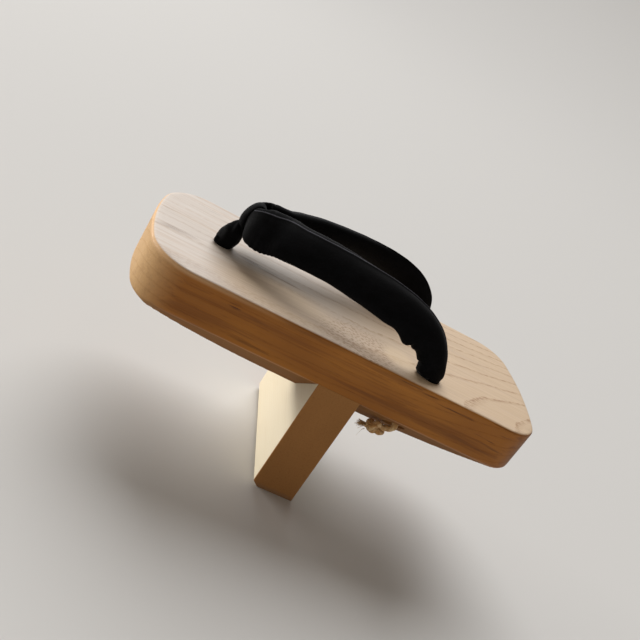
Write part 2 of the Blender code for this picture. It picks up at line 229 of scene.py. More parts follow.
# %% The platform's rings, from the middle of the top to the middle of the underside
def block_rings():
    """A ring is the outline drawn in by a distance, or shrunk to the middle, at its own height."""
    edge = 0.0018 + 0.0004 * soft_noise(3, outline[:, 0] * 60, outline[:, 1] * 60)
    at_toe = smoothstep(outline[:, 0], 0.07, 0.115)
    at_heel = smoothstep(-outline[:, 0], 0.085, 0.110)
    low_edge = 0.0010 + 0.0015 * at_toe + 0.0012 * at_heel
    # Beside the slot the edge stays sharp
    off_slot = smoothstep(np.abs(outline[:, 0]), TOOTH_HALF, TOOTH_HALF + 0.006)
    low_edge = 0.0002 + (low_edge - 0.0002) * off_slot
    rings = []
    for share in np.sqrt(np.linspace(0, 1, 26)):
        flat = (outline - edge[:, None] * outward) * share
        rings.append(np.column_stack([flat, np.full(len(flat), TOP_Z)]))
    for turn in np.linspace(0, np.pi / 2, 7)[1:]:
        flat = outline - (edge * (1 - np.sin(turn)))[:, None] * outward
        rings.append(np.column_stack([flat, TOP_Z - edge * (1 - np.cos(turn))]))
    depth = underside_depth(outline[:, 0], outline[:, 1])
    for share in np.linspace(0, 1, 9)[1:-1]:
        down = edge + (depth - low_edge - edge) * share
        rings.append(np.column_stack([outline, TOP_Z - down]))
    for turn in np.linspace(0, np.pi / 2, 8):
        flat = outline - (low_edge * (1 - np.cos(turn)))[:, None] * outward
        under = underside_depth(flat[:, 0], flat[:, 1])
        rings.append(np.column_stack([flat, TOP_Z - under + low_edge * (1 - np.sin(turn))]))
    for share in np.linspace(1, 0, 64)[1:]:
        flat = (outline - low_edge[:, None] * outward) * share
        rings.append(np.column_stack([flat, TOP_Z - underside_depth(flat[:, 0], flat[:, 1])]))
    return np.array(rings)


platform = surface("wooden_platform", block_rings(), sharp=38)

# %% [markdown]
# The strap's three holes go right through, and the tooth sits in a slot across the
# underside. A real maker bores and chisels them after the block is shaped, so a Boolean
# modifier does the same here. It is applied at once, and the cutters are then removed.

# %% Bore the holes and cut the slot
CUT_PAST = 0.02


def closed_run(section, start, end):
    """The section at the start and the end, with its middle outside each, and how far along they are."""
    middle = section.mean(axis=0)
    sizes = np.array([0.0, 1.0, 1.0, 0.0])
    flat = middle + (section - middle) * sizes[:, None, None]
    along = np.array([start, start, end, end])
    return flat, np.broadcast_to(along[:, None], flat.shape[:2])


def drill(name, centre, radius):
    """An upright rod through the platform, as a cutter."""
    turn = np.linspace(0, 2 * np.pi, 64, endpoint=False)
    ring = centre + radius * np.stack([np.cos(turn), np.sin(turn)], axis=1)
    flat, height = closed_run(ring, TOP_Z - KEEL_HEIGHT - CUT_PAST, TOP_Z + CUT_PAST)
    return surface(name, np.dstack([flat, height]))


def slot_cutter():
    """A box for the tooth's slot, open below and past both sides."""
    half, side = TOOTH_HALF + GAP, HALF_WIDTH + CUT_PAST
    low, high = TOP_Z - KEEL_HEIGHT - CUT_PAST, TOOTH_TOP + GAP
    section = np.array([(-half, low), (half, low), (half, high), (-half, high)])
    flat, y = closed_run(section, -side, side)
    return surface("slot", np.stack([flat[..., 0], y, flat[..., 1]], axis=-1))


def cut(piece, cutters):
    """Takes each cutter away from the piece, keeps the result and removes the cutters."""
    for cutter in cutters:
        step = piece.modifiers.new(cutter.name, "BOOLEAN")
        step.operation = "DIFFERENCE"
        step.solver = "EXACT"
        step.object = cutter
    ready = piece.evaluated_get(bpy.context.evaluated_depsgraph_get())
    result = bpy.data.meshes.new_from_object(ready)
    piece.modifiers.clear()
    piece.data = result
    for cutter in cutters:
        bpy.data.objects.remove(cutter, do_unlink=True)


cut(platform, [
    drill("toe_drill", TOE_HOLE, TOE_HOLE_RADIUS),
    drill("left_drill", HEEL_HOLE, HEEL_HOLE_RADIUS),
    drill("right_drill", HEEL_HOLE * (1, -1), HEEL_HOLE_RADIUS),
    slot_cutter(),
])
platform.data.set_sharp_from_angle(angle=np.radians(38))
print("platform faces after cutting:", len(platform.data.polygons))

# %% [markdown]
# ## The tooth
#
# One board, glued in the slot. Its front bottom edge is planed off and its arrises are
# eased with a stroke of sandpaper. The grid carries the board's section from one side of
# the shoe to the other, and the section shrinks a little at each end.

# %% The tooth's section, carried across the shoe
def rounded_section(corners, radius, steps=5):
    """A closed outline whose corners are swept round, each with a radius of its own."""
    before = np.roll(corners, 1, axis=0)
    after = np.roll(corners, -1, axis=0)
    to_before = (before - corners) / np.linalg.norm(before - corners, axis=1, keepdims=True)
    to_after = (after - corners) / np.linalg.norm(after - corners, axis=1, keepdims=True)
    t = np.linspace(0, 1, steps)[None, :, None]
    start = corners + radius[:, None] * to_before
    end = corners + radius[:, None] * to_after
    curve = (1 - t) ** 2 * start[:, None] + 2 * t * (1 - t) * corners[:, None] + t**2 * end[:, None]
    return curve.reshape(-1, 2)


def tooth_grid(ease=0.0006):
    """Stations across the shoe: the end caps first shrink to the middle, then round into the side."""
    seat = TOOTH_TOP + 0.8 * GAP
    section = np.array([
        (-TOOTH_HALF, 0.0), (TOOTH_HALF - 0.0034, 0.0), (TOOTH_HALF, 0.0030), (TOOTH_HALF, seat),
        (-TOOTH_HALF, seat),
    ])
    outer = rounded_section(section, np.array([ease, ease, ease, 0.00005, 0.00005]))
    middle = outer.mean(axis=0)
    inner = outer - ease * np.sign(outer - middle) * (1, 0.05)
    turn = np.linspace(0, np.pi / 2, 5)
    caps = [middle + (inner - middle) * share for share in (0.0, 0.5, 0.9)]
    rounds = [inner + (outer - inner) * np.sin(a) for a in turn]
    run = [outer] * 21
    sections = np.array(caps + rounds + run + rounds[::-1] + caps[::-1])
    near = HALF_WIDTH - ease * (1 - np.cos(turn))
    y = np.concatenate([np.full(3, HALF_WIDTH), near, np.linspace(near[-1], -near[-1], 23)[1:-1],
                        -near[::-1], np.full(3, -HALF_WIDTH)])
    y = np.broadcast_to(y[:, None], sections.shape[:2])
    return np.stack([sections[..., 0], y, sections[..., 1]], axis=-1)


tooth = surface("tooth_board", tooth_grid(), sharp=30)

# %% [markdown]
# ## A profile carried along a path
#
# Straps, thongs and cords are all tubes. A path gives the tube's middle, and at each station
# two directions at right angles to it, wide and thick, carry the section. The path is a
# Catmull-Rom curve, which passes through each of its rows.

# %% Paths and the directions along them
def smooth_path(rows, count):
    """A Catmull-Rom curve through the rows, read at evenly spread values of its parameter."""
    rows = np.asarray(rows, float)
    padded = np.vstack([2 * rows[0] - rows[1], rows, 2 * rows[-1] - rows[-2]])
    at = np.linspace(0, len(rows) - 1, count)
    first = np.minimum(at.astype(int), len(rows) - 2)
    t = (at - first)[:, None]
    a, b, c, d = (padded[first + i] for i in range(4))
    return 0.5 * (2 * b + (c - a) * t + (2 * a - 5 * b + 4 * c - d) * t**2 + (3 * b - a - 3 * c + d) * t**3)


def unit(vectors):
    """The same directions, each one long."""
    return vectors / np.linalg.norm(vectors, axis=-1, keepdims=True)


def lengths(path):
    """The distance along the path to each of its points."""
    return np.concatenate([[0.0], np.cumsum(np.linalg.norm(np.diff(path, axis=0), axis=1))])


def carried(path, wide_axis, wide, thick, closed=False):
    """A grid from section offsets: wide and thick hold one row of distances for each station."""
    ahead = np.gradient(path, axis=0)
    if closed:
        ahead = np.roll(path, -1, axis=0) - np.roll(path, 1, axis=0)
    ahead = unit(ahead)
    across = unit(wide_axis - (wide_axis * ahead).sum(axis=1, keepdims=True) * ahead)
    through = np.cross(ahead, across)
    grid = path[:, None] + wide[..., None] * across[:, None] + thick[..., None] * through[:, None]
    return np.concatenate([grid, grid[:1]]) if closed else grid


def capped(grid):
    """The same grid with each end drawn in to its middle, so that it closes."""
    first = np.broadcast_to(grid[0].mean(axis=0), grid[0].shape)
    last = np.broadcast_to(grid[-1].mean(axis=0), grid[-1].shape)
    return np.concatenate([first[None], grid, last[None]])


print("path helpers ready")

# %% [markdown]
# ## The strap
#
# The strap is a padded velvet tube, flat-sided against the foot and sewn along its upper
# edge. It arches over the foot, then turns down and is drawn together into its hole, where
# the velvet bunches. The route is the CAD model's own, in shares of the strap's sizes.

# %% The strap's route from the nose to a heel hole
STRAP_WIDTH, STRAP_THICKNESS, STRAP_RISE = 0.0228, 0.0100, 0.0269
STRAP_LEAN, STRAP_RAKE, TWIST_SPAN = np.radians(33), 0.7, 0.25
NOSE_X = TOE_HOLE[0] - 0.0087
LOOP_WIDTH = 0.0060
STRAP_ROWS = np.array([
    # along, out, up, wide, thick
    (0.000, 0.000, 0.790, 0.71, 0.78),
    (0.002, 0.105, 0.790, 0.73, 0.79),
    (0.020, 0.215, 0.790, 0.96, 0.92),
    (0.058, 0.275, 0.800, 1.05, 1.00),
    (0.108, 0.315, 0.830, 1.02, 1.00),
    (0.180, 0.400, 0.895, 1.00, 1.00),
    (0.260, 0.470, 0.955, 1.00, 1.00),
    (0.340, 0.530, 0.985, 1.00, 1.00),
    (0.420, 0.600, 1.000, 1.00, 1.00),
    (0.500, 0.685, 1.000, 1.00, 1.00),
    (0.582, 0.765, 0.985, 1.00, 1.00),
    (0.666, 0.833, 0.955, 1.00, 1.00),
    (0.750, 0.889, 0.900, 1.00, 1.00),
    (0.828, 0.940, 0.800, 0.98, 1.02),
    (0.894, 0.972, 0.655, 0.93, 1.06),
    (0.948, 0.992, 0.460, 0.84, 1.10),
    (0.982, 1.000, 0.255, 0.74, 1.16),
    (0.997, 1.000, 0.090, 0.66, 1.30),
])


def strap_half(side, count=300):
    """Path points and half sizes from the nose to the end of the cloth inside one hole."""
    along, out, up, wide, thick = smooth_path(STRAP_ROWS, count).T
    x = NOSE_X + (HEEL_HOLE[0] - NOSE_X) * along
    path = np.stack([x, side * HEEL_HOLE[1] * out, TOP_Z + STRAP_RISE * up], axis=1)
    half_wide, half_thick = wide * STRAP_WIDTH / 2, thick * STRAP_THICKNESS / 2
    drop = np.array([0.0004, 0.0016, 0.006, 0.012, 0.020])
    tail = np.column_stack([np.tile((HEEL_HOLE[0], side * HEEL_HOLE[1]), (5, 1)), TOP_Z - drop])
    waist = np.array([0.985, 0.955, 0.94, 0.94, 0.94]) * (HEEL_HOLE_RADIUS - GAP)
    return np.vstack([path, tail]), np.append(half_wide, waist), np.append(half_thick, waist)


left_path, left_wide, left_thick = strap_half(1)
strap_path = np.vstack([left_path[::-1], left_path[1:] * (1, -1, 1)])
strap_wide = np.concatenate([left_wide[::-1], left_wide[1:]])
strap_thick = np.concatenate([left_thick[::-1], left_thick[1:]])
strap_length = lengths(strap_path)
print(f"strap, hole to hole: {strap_length[-1] * 1000:.0f} mm")


# %% Where the lower edge of the strap bulges or is drawn in, past the nose
LOWER_EDGE = np.array([
    # past the nose, how far out, over what length
    (0.1010, -0.0013, 0.0060),
    (0.1106, 0.0010, 0.0032),
    (0.1157, -0.0016, 0.0014),
    (0.1215, -0.0020, 0.0050),
    (0.1300, -0.0016, 0.0015),
    (0.1368, 0.0021, 0.0036),
])


def lower_edge(past_nose):
    """The sum of a bell for each row, times how far out it goes."""
    return sum(out * bell(past_nose, place, spread) for place, out, spread in LOWER_EDGE)


print("bulges and notches on the strap's lower edge:", len(LOWER_EDGE))


# %% The strap's section, seam, puckers and bunching
SEAM_ROLL, SEAM_LIP, SEAM_SPREAD = 0.85, 0.0008, 0.075
CROWN_HEIGHT, CROWN_PLACE, CROWN_SPREAD = 0.0020, 0.025, 0.0075
BEND_PLACE, BEND_SPREAD = 0.122, 0.016
RUFFLE_HEIGHT, RUFFLE_PITCH = 0.00016, 0.0023
SLACK, FINE_SLACK, PLEAT_DEPTH, PLEATS = 0.018, 0.007, 0.030, 7


def strap_grid(columns=112):
    """Oval sections with a raised seam on top, creases where the strap bends and pleats at its feet."""
    round_it = np.linspace(0, 1, columns, endpoint=False)
    turn = 2 * np.pi * round_it - 0.55 * np.sin(2 * np.pi * round_it)
    height = strap_path[:, 2] - TOP_Z
    past_loop = np.clip(np.abs(strap_path[:, 1]) - LOOP_WIDTH / 2 - 2 * GAP, 0, None)
    side = np.sign(strap_path[:, 1]) * np.clip(past_loop / (TWIST_SPAN * HEEL_HOLE[1]), 0, 1)
    wide_axis = np.stack([-STRAP_RAKE * np.abs(side), -np.sin(STRAP_LEAN * side),
                          np.cos(STRAP_LEAN * side)], axis=1)
    past_nose = np.abs(strap_length - strap_length[-1] / 2)
    standing = smoothstep(height, 0.000, 0.004)[:, None]
    # Near the nose the seam has rolled outwards, off the top edge
    roll = SEAM_ROLL * smoothstep(past_nose, 0.000, 0.004) * (1 - smoothstep(past_nose, 0.040, 0.120))
    section = turn - roll[:, None]
    seam_turn = np.minimum(turn, 2 * np.pi - turn)
    seam = bell(seam_turn, 0, SEAM_SPREAD)
    # The cloth is pulled to a point at the seam and stays full at the lower edge
    pinch = 1 - (0.42 - 0.5 * roll[:, None]) * bell(seam_turn, 0, 0.45)
    full = np.sign(np.sin(section)) * np.abs(np.sin(section)) ** 0.86
    low = (0.5 - 0.5 * np.cos(section)) ** 2.2
    # The padding stands a little prouder along the top edge where the strap leaves the nose
    crown = CROWN_HEIGHT * bell(past_nose, CROWN_PLACE, CROWN_SPREAD)[:, None]
    crown = crown * (0.5 + 0.5 * np.cos(section)) ** 2.2
    bend = bell(past_nose, BEND_PLACE, BEND_SPREAD)[:, None]
    slack = soft_noise(11, strap_length[:, None] * 95, 1.2 * np.cos(turn), 1.2 * np.sin(turn))
    fine_slack = soft_noise(12, strap_length[:, None] * 330, 2.5 * np.cos(turn), 2.5 * np.sin(turn))
    near_foot = bell(np.clip(height, 0, None), 0, 0.010)[:, None]
    wander = 2.0 * np.sin(strap_length * 240) + 0.8 * np.sign(side)
    pleats = np.cos(PLEATS * turn + wander[:, None])
    swell = 1 + standing * (SLACK * slack + FINE_SLACK * fine_slack + PLEAT_DEPTH * near_foot * pleats)
    # Drag lines run up from each notch of the lower edge into the flat of the strap
    drag = lower_edge(past_nose[:, None] + 0.006 * np.cos(section)) / STRAP_THICKNESS
    swell = swell + 0.35 * standing * bend * drag * np.sin(section) ** 2 * (0.5 - 0.5 * np.cos(section))
    ruffle = RUFFLE_HEIGHT * np.cos(2 * np.pi * strap_length / RUFFLE_PITCH)
    ruffle = ruffle * bell(past_nose, 0.016, 0.012)
    edge = (lower_edge(past_nose * (1 + 0.02 * (side < 0))) + ruffle)[:, None] * standing
    lip = SEAM_LIP * standing * smoothstep(past_nose, 0.002, 0.006)[:, None]
    lip = lip * smoothstep(height, 0.004, 0.014)[:, None]
    wide = strap_wide[:, None] * np.cos(section) * swell + crown + lip * seam - edge * low
    thick = strap_thick[:, None] * np.where(standing > 0.5, full * pinch, np.sin(section)) * swell
    return capped(carried(strap_path, wide_axis, wide, thick))


strap = surface("padded_strap", strap_grid())

# %% [markdown]
# ## The toe thong
#
# A strip of the same velvet is wrapped round the strap's nose and gathered below it into a
# stem, which swells just over the deck and goes down the toe hole. The band is a flat
# section carried round an ellipse. The stem is a round one whose folds turn as they go down.

# %% The band round the strap's nose
NOSE_Z = TOP_Z + STRAP_RISE * STRAP_ROWS[0, 2]
NOSE_HALF_WIDE = STRAP_WIDTH * STRAP_ROWS[0, 3] / 2
NOSE_HALF_THICK = STRAP_THICKNESS * STRAP_ROWS[0, 4] / 2


def band_grid(steps=150, columns=44):
    """A strip round the nose, with gathers on its outer face. It thickens in front and below."""
    turn = np.linspace(0, 2 * np.pi, steps, endpoint=False)[:, None]
    section = np.linspace(0, 2 * np.pi, columns, endpoint=False)
    gathered = bell(turn, 2.1, 0.9487)
    half_thick = 0.0006 + 0.0010 * gathered
    room = 0.0004 + half_thick
    deep, high = NOSE_HALF_THICK + room, NOSE_HALF_WIDE + room
    path = np.hstack([NOSE_X + deep * np.sin(turn), 0 * turn, NOSE_Z + high * np.cos(turn)])
    across = np.tile((0.0, 1.0, 0.0), (steps, 1))
    half_wide = 0.0034 + 0.0009 * gathered + 0.0003 * soft_noise(21, 2 * np.sin(turn), 2 * np.cos(turn))
    wide = half_wide * np.sign(np.cos(section)) * np.abs(np.cos(section)) ** 0.9
    outer = smoothstep(np.sin(section), 0.0, 0.6)
    folds = np.cos(3.5 * np.pi * np.cos(section) + 1.4 * np.sin(turn))
    thick = half_thick * np.sin(section) + (0.00012 + 0.00036 * gathered) * outer * folds
    # The strip's edges lean back over the strap, which falls away on both sides
    grid = carried(path, across, wide, -thick, closed=True)
    grid[..., 0] -= 0.0010 * (grid[..., 1] / 0.0040) ** 2
    return grid


thong_band = surface("thong_band", band_grid())


# %% The stem down to the toe hole
STEM_NECK = TOE_HOLE_RADIUS - 0.0004


def stem_grid(columns=72):
    """A round section along the stem: deep folds that twist, and a tip of cloth on the deck."""
    rows = np.array([
        # x, height over the deck, radius
        (NOSE_X + 0.0058, 0.0168, 0.0010),
        (NOSE_X + 0.0057, 0.0150, 0.0030),
        (NOSE_X + 0.0056, 0.0122, 0.0046),
        (NOSE_X + 0.0061, 0.0094, 0.0054),
        (TOE_HOLE[0] - 0.0017, 0.0064, 0.0059),
        (TOE_HOLE[0] - 0.0011, 0.0038, 0.0059),
        (TOE_HOLE[0] - 0.0004, 0.0016, 0.0056),
        (TOE_HOLE[0], 0.0001, 0.0048),
        (TOE_HOLE[0], -0.0060, STEM_NECK),
        (TOE_HOLE[0], -0.0180, STEM_NECK),
    ])
    x, up, radius = smooth_path(rows, 170).T
    radius = np.where(up < 0.0002, np.minimum(radius, STEM_NECK), radius)
    path = np.stack([x, 0 * x, TOP_Z + up], axis=1)
    turn = np.linspace(0, 2 * np.pi, columns, endpoint=False)
    standing = smoothstep(up, 0.0, 0.002)[:, None]
    twist = up[:, None] * 150
    folds = 0.085 * np.abs(np.cos(2.5 * turn + twist + 0.4)) - 0.05 + 0.03 * np.cos(6 * turn - 0.8 * twist)
    lumps = 0.100 * soft_noise(31, up[:, None] * 620, 2.4 * np.cos(turn), 2.4 * np.sin(turn))
    swell = 1 + standing * (folds + lumps)
    tip = 0.0016 * bell(up[:, None], 0.0012, 0.0008) * bell(turn, 0.5, 0.25)
    across = np.tile((1.0, 0.0, 0.0), (len(x), 1))
    wide = radius[:, None] * np.cos(turn) * swell + tip * np.cos(turn)
    thick = radius[:, None] * np.sin(turn) * swell + tip * np.sin(turn)
    return capped(carried(path, across, wide, -thick))


thong_stem = surface("thong_stem", stem_grid())

# %% [markdown]
# ## The cords and their knots
#
# Inside the velvet runs a cord of twisted bast. It comes out below the platform, is tied in
# an overhand knot that can't slip back, and ends in a tuft of loose fibres. The knot's closed
# form is a trefoil. A rope's section has three lobes, and it turns as it goes along.

# %% Rope, knot and tuft
CORD_RADIUS = 0.0020
KNOT_RADIUS = 0.0062
KNOT_FLATNESS = 0.75
KNOT_SHIFT = 0.0095
TAIL_LENGTH = 0.0110


def rope_grid(path, radius, pitch=0.011, columns=18, closed=False):
    """Three round strands, wound once round the path in each pitch."""
    turn = np.linspace(0, 2 * np.pi, columns, endpoint=False)
    wound = 2 * np.pi * lengths(path) / pitch
    if closed:
        wound = 2 * np.pi * np.round(lengths(path)[-1] / pitch) * np.arange(len(path)) / len(path)
    lobe = 0.80 + 0.20 * np.abs(np.cos(1.5 * (turn - wound[:, None])))
    ahead = unit(np.gradient(path, axis=0))
    level = unit(np.cross(ahead, np.array([0.37, 0.53, 0.76])))
    out = np.asarray(radius).reshape(-1, 1) * lobe
    return carried(path, level, out * np.cos(turn), out * np.sin(turn), closed=closed)


def knot_path(centre, ahead, beside, normal, steps=150):
    """A trefoil, flattened against the wood: x = sin t + 2 sin 2t, y = cos t - 2 cos 2t, z = -sin 3t."""
    t = np.linspace(0, 2 * np.pi, steps, endpoint=False)
    size = (KNOT_RADIUS - CORD_RADIUS * 0.8) / 3
    x, y = np.sin(t) + 2 * np.sin(2 * t), np.cos(t) - 2 * np.cos(2 * t)
    z = -KNOT_FLATNESS * 1.7 * np.sin(3 * t)
    return centre + size * (x[:, None] * ahead + y[:, None] * beside + z[:, None] * normal)


def tuft_grids(root, ahead, normal, seed, count=70, steps=9):
    """Loose fibres: each leaves the cord's end, spreads out and curls under its own path."""
    chance = np.random.default_rng(seed)
    beside = np.cross(normal, ahead)
    t = np.linspace(0, 1, steps)[None, :, None]
    spread = chance.normal(0, 1, (count, 2))
    spread[:, 1] = np.abs(spread[:, 1]) * 0.8 - 0.2
    reach = chance.uniform(0.0026, 0.0050, (count, 1, 1))
    curl = chance.uniform(-1, 1, (count, 1, 1))
    side = (spread[:, :1] * beside + spread[:, 1:] * normal)[:, None]
    start = root + 0.0014 * side
    path = start + reach * (t * ahead + 0.60 * t**1.6 * side + 0.22 * curl * np.sin(2.6 * t) * beside)
    width = 0.00026 * (1 - 0.65 * t)
    turn = np.array([0.0, 2.094, 4.189])[None, None, :, None]
    ring = path[:, :, None] + width[..., None, :] * (np.cos(turn) * beside + np.sin(turn) * normal)
    return [capped(fibre) for fibre in ring]


def cord_piece(name, hole, heading, seed):
    """A shank from inside the hole, the knot on the underside, and the tail with its tuft."""
    step = 0.001
    x, y = np.array(hole)[:, None] + step * np.array([(0, -1, 1, 0, 0), (0, 0, 0, -1, 1)])
    depth = underside_depth(x, y)
    leaving = np.array([x[0], y[0], TOP_Z - depth[0]])
    normal = unit(np.array([depth[1] - depth[2], depth[3] - depth[4], -2 * step]))
    ahead = np.array([heading[0], heading[1], 0.0])
    ahead = unit(ahead - ahead @ normal * normal)
    beside = np.cross(normal, ahead)
    centre = leaving + KNOT_SHIFT * ahead + (GAP + KNOT_FLATNESS * KNOT_RADIUS) * normal
    shank = smooth_path([leaving + (0, 0, 0.012), leaving + (0, 0, 0.004), leaving + CORD_RADIUS * normal,
                         centre], 50)
    wander = soft_noise(seed, np.linspace(0, 3, 40))[:, None] * 0.0007 * beside
    tail = smooth_path([centre + share * TAIL_LENGTH * ahead for share in (0.0, 0.25, 0.5)], 40)
    tail = tail + wander * np.linspace(0, 1, 40)[:, None]
    grids = [
        capped(rope_grid(shank, CORD_RADIUS)),
        rope_grid(knot_path(centre, ahead, beside, normal), CORD_RADIUS, closed=True),
        capped(rope_grid(tail, CORD_RADIUS * np.linspace(1.0, 1.15, 40))),
    ]
    return surface(name, *grids, *tuft_grids(tail[-1], ahead, normal, seed))


cords = {
    "toe_cord": cord_piece("toe_knot", TOE_HOLE, (-1.0, 0.0), 41),
    "heel_cord_left": cord_piece("left_heel_knot", HEEL_HOLE, (0.8, -0.6), 42),
    "heel_cord_right": cord_piece("right_heel_knot", HEEL_HOLE * (1, -1), (0.8, 0.6), 43),
}

# %% [markdown]
# ## Shader maths in plain Python
#
# A material is a graph of nodes. A Wire wraps one output socket, and +, -, *, / and ** on
# wires add Math nodes. Any other node comes from one method, which sets the node's settings
# first and its sockets after.

# %% Wires and finishes
class Wire:
    """One socket of a finish's graph, with Python's operators."""

    def __init__(self, finish, socket):
        self.finish, self.socket = finish, socket

    def __add__(self, other):
        return self.finish.maths("ADD", self, other)

    def __sub__(self, other):
        return self.finish.maths("SUBTRACT", self, other)

    def __rsub__(self, other):
        return self.finish.maths("SUBTRACT", other, self)

    def __mul__(self, other):
        return self.finish.maths("MULTIPLY", self, other)

    def __truediv__(self, other):
        return self.finish.maths("DIVIDE", self, other)

    def __pow__(self, other):
        return self.finish.maths("POWER", self, other)

    __radd__ = __add__
    __rmul__ = __mul__


class Finish:
    """A named material, its Principled shader and the ways to add nodes to it."""

    def __init__(self, name, **constants):
        self.material = bpy.data.materials.new(name)
        self.material.use_nodes = True
        self.tree = self.material.node_tree
        self.shader = self.tree.nodes["Principled BSDF"]
        for socket, value in constants.items():
            self.shader.inputs[socket.replace("_", " ")].default_value = value

    def node(self, kind, settings=None, output=0, **sockets):
        """Adds a node, sets its settings, then fills its sockets by name, or by number: n0, n1."""
        made = self.tree.nodes.new("ShaderNode" + kind)
        for key, value in (settings or {}).items():
            setattr(made, key, value)
        for key, value in sockets.items():
            place = int(key[1:]) if key[1:].isdigit() and key[0] == "n" else key.replace("_", " ")
            if isinstance(value, Wire):
                self.tree.links.new(value.socket, made.inputs[place])
            else:
                made.inputs[place].default_value = value
        return Wire(self, made.outputs[output])

    def maths(self, operation, *values):
        sockets = {f"n{i}": value for i, value in enumerate(values)}
        return self.node("Math", {"operation": operation}, **sockets)

    def step(self, value, low, high):
        """0 below low and 1 above high, with a soft S between."""
        return self.node("MapRange", {"interpolation_type": "SMOOTHSTEP"}, Value=value,
                         From_Min=low, From_Max=high)

    def mixed(self, factor, first, second):
        """The first colour where the factor is 0, the second where it is 1."""
        return self.node("Mix", {"data_type": "RGBA"}, output=2, n0=factor, n6=first, n7=second)

    def layered(self, base, *layers):
        """The base with colours laid over it in turn. A layer is a factor and a screen colour."""
        for factor, screen in layers:
            base = self.mixed(factor, base, srgb(*screen))
        return base

    def grain(self, place, scales, detail, roughness=0.55):
        """Noise with this many waves to the metre along x, y and z."""
        stretched = self.node("Mapping", Vector=place, Scale=scales)
        return self.node("TexNoise", Vector=stretched, Scale=1.0, Detail=detail, Roughness=roughness)

    def split(self, place):
        """The three coordinates of a place, or of a UV."""
        apart = self.node("SeparateXYZ", Vector=place).socket.node
        return [Wire(self, socket) for socket in apart.outputs]

    def into(self, socket, wire):
        self.tree.links.new(wire.socket, self.shader.inputs[socket])

    def bump(self, height, distance, strength=1.0):
        self.into("Normal", self.node("Bump", Height=height, Distance=distance, Strength=strength))


def srgb(red, green, blue):
    """A colour as a screen shows it, 0 to 255, turned into the linear light that shaders use."""
    share = np.array([red, green, blue]) / 255
    linear = np.where(share <= 0.04045, share / 12.92, ((share + 0.055) / 1.055) ** 2.4)
    return (*linear.tolist(), 1.0)


print("shader helpers ready")

# %% [markdown]
# ## Figured wood
#
# The platform is one block of a pale, light wood. Its rings run round the tree's middle,
# which lies deep under the deck at the toe and comes nearer to it at the heel. So the same
# rings show as nearly straight lines at the toe, as pointed arches at the heel and as level
# streaks on the sides. A solid pattern gets all of these right at once: distance from that
# middle line, divided by the rings' spacing.

# %% The rings of the tree
RISE_STARTS = 0.010


def ring_field(finish, place, middle_y, middle_depth, rise, spacing):
    """Rings counted from the tree's middle line: distance from it, bent a little, over the spacing.

    The line lies middle_depth under the deck, less the rise times the square of the way behind
    the place where it starts to come up.
    """
    x, y, z = finish.split(place)
    behind = finish.maths("MINIMUM", x - RISE_STARTS, 0.0)
    depth = middle_depth - rise * behind * behind
    slow = finish.grain(place, (9.0, 26.0, 26.0), 2.0)
    wave = finish.grain(place, (34.0, 60.0, 60.0), 2.0)
    from_y = y - middle_y + (slow - 0.5) * 0.005
    from_z = z - TOP_Z + depth + (wave - 0.5) * 0.002
    return (from_y * from_y + from_z * from_z) ** 0.5 / spacing


def late_wood(finish, rings):
    """A saw tooth in each ring: pale early wood, then a thin line that darkens and stops short."""
    part = finish.maths("FRACT", rings)
    return finish.step(part, 0.74, 0.96) * (1 - finish.step(part, 0.96, 1.0))


print("ring helpers ready")


# %% The platform's finish
def along_line(finish, x, y, start, end, half_width):
    """1 beside a line drawn on the deck from start to end, fading to 0 at its half width and its ends."""
    start, run = np.array(start), np.array(end) - np.array(start)
    length = np.linalg.norm(run)
    run_x, run_y = (run / length).tolist()
    along = (x - float(start[0])) * run_x + (y - float(start[1])) * run_y
    across = (y - float(start[1])) * run_x - (x - float(start[0])) * run_y
    off = finish.maths("ABSOLUTE", across)
    inside = finish.step(along, -0.004, 0.006) * (1 - finish.step(along, length - 0.006, length + 0.004))
    return inside * (1 - finish.step(off, 0.2 * half_width, half_width))


def round_spot(finish, x, y, middle, radius, squash):
    """1 at a point of the deck, fading to 0 at the radius of a circle squashed across the shoe."""
    from_x, from_y = x - middle[0], (y - middle[1]) * squash
    return 1 - finish.step((from_x * from_x + from_y * from_y) ** 0.5, 0.4 * radius, radius)


def wood_marks(wood):
    """Solid patterns from 0 to 1 that the deck and the sides share, and the place that they use."""
    place = wood.node("TexCoord", output="Object")
    x, y, z = wood.split(place)
    return SimpleNamespace(
        place=place, x=x, y=y, z=z,
        late=late_wood(wood, ring_field(wood, place, 0.050, 0.100, 0.9, 0.0056)),
        fibre=wood.grain(place, (26.0, 1100.0, 1100.0), 4.0, 0.6),
        streak=wood.grain(place, (11.0, 260.0, 260.0), 3.0, 0.6),
        pencil=wood.step(wood.grain(place, (30.0, 560.0, 560.0), 3.0), 0.58, 0.68),
        band=wood.step(wood.grain(place, (9.0, 60.0, 60.0), 1.0), 0.50, 0.64),
        dash=wood.step(wood.grain(place, (260.0, 900.0, 900.0), 2.0), 0.44, 0.58),
        cloud=wood.grain(place, (14.0, 34.0, 34.0), 2.0),
        patches=wood.grain(place, (11.7, 28.6, 28.6), 1.0),
    )


